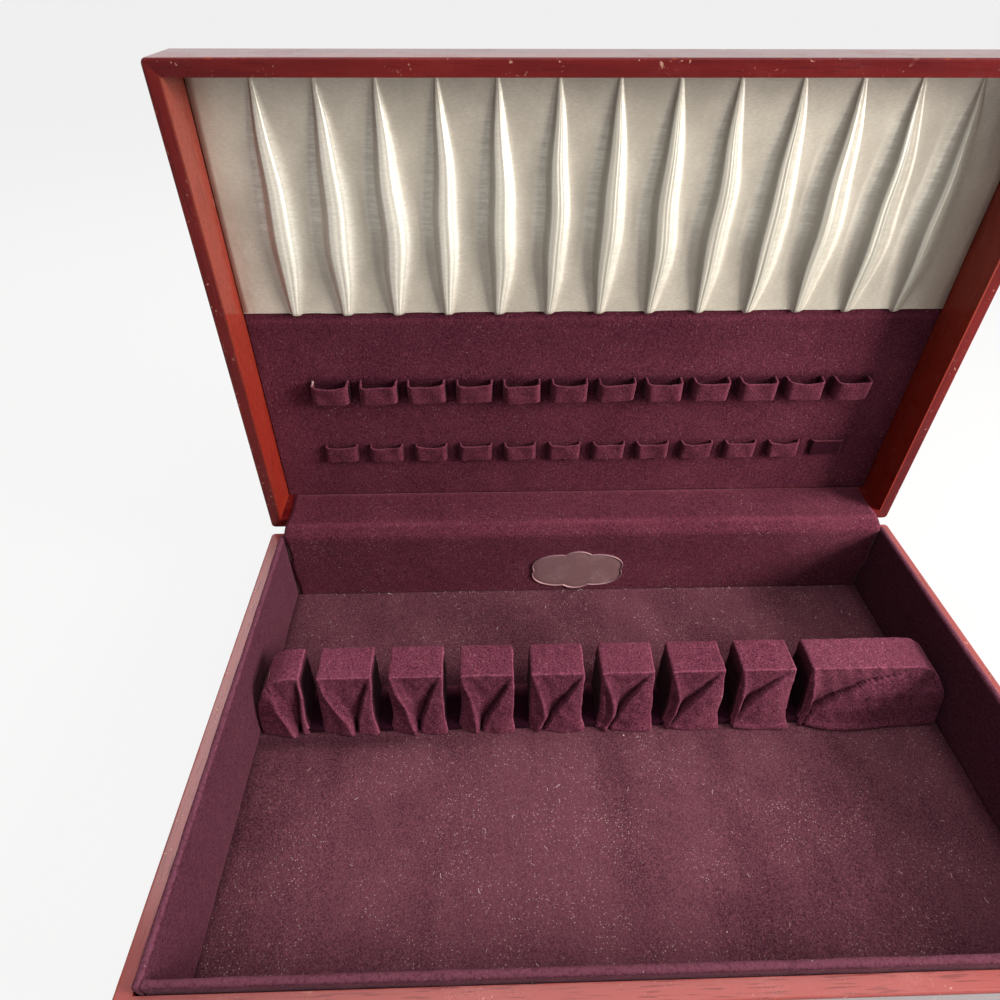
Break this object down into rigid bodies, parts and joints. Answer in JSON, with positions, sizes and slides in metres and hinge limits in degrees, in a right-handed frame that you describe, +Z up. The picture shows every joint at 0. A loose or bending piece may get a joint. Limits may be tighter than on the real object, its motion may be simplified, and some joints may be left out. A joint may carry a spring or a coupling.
{
  "type": "silverware chest",
  "caption": "Open-lid wooden flatware chest with felt lining, slotted rack for forks and spoons, satin-lined lid with knife loops and butt hinges.",
  "frame": {"origin": "centre of the underside of the base", "axes": "+X to the chest's right seen from the front, +Y to the hinged rear, +Z up; the lid stands open at rest"},
  "size_m": [0.4, 0.2874, 0.3095],
  "materials": {
    "mahogany": "glossy lacquer over a red mahogany stain, worn at the edges",
    "underside_board": "thin stained board, satin",
    "rack_wood": "bare softwood, hidden under felt",
    "card": "grey-brown pulp board",
    "felt": "dark maroon wool felt on card",
    "satin": "ivory satin, gathered in pleats",
    "brass": "dull brass plate",
    "pewter": "dull pewter-coloured stamped sheet"
  },
  "bodies": {
    "base": {"base_front_wall": "mahogany", "base_rear_wall": "mahogany", "base_left_wall": "mahogany", "base_right_wall": "mahogany", "bottom_board": "underside_board", "floor_pad": "felt", "liner_left": "felt", "liner_right": "felt", "liner_front": "felt", "hinge_cover": "felt", "rack_felt": "felt", "liner_rear": "card", "rack_base": "rack_wood", "rack_block_1": "rack_wood", "rack_block_2": "rack_wood", "rack_block_3": "rack_wood", "rack_block_4": "rack_wood", "rack_block_5": "rack_wood", "rack_block_6": "rack_wood", "rack_block_7": "rack_wood", "rack_block_8": "rack_wood", "rack_block_9": "rack_wood", "hinge_left_base_leaf": "brass", "hinge_right_base_leaf": "brass", "hinge_pins": "brass", "base_hinge_screws": "brass", "nameplate": "pewter"},
    "lid": {"lid_front_rail": "mahogany", "lid_rear_rail": "mahogany", "lid_left_rail": "mahogany", "lid_right_rail": "mahogany", "lid_panel": "mahogany", "loop_board": "felt", "satin_card": "card", "satin_lining": "satin", "upper_knife_loops": "felt", "lower_knife_loops": "felt", "hinge_left_lid_leaf": "brass", "hinge_right_lid_leaf": "brass", "lid_hinge_screws": "brass"}
  },
  "joints": [
    {"name": "lid_hinge", "type": "hinge", "parent": "base", "child": "lid", "pos_m": [0, 0.1292, 0.05325], "axis": [1, 0, 0], "range_deg": [0, 90], "deforming": ["hinge_cover"]}
  ]
}
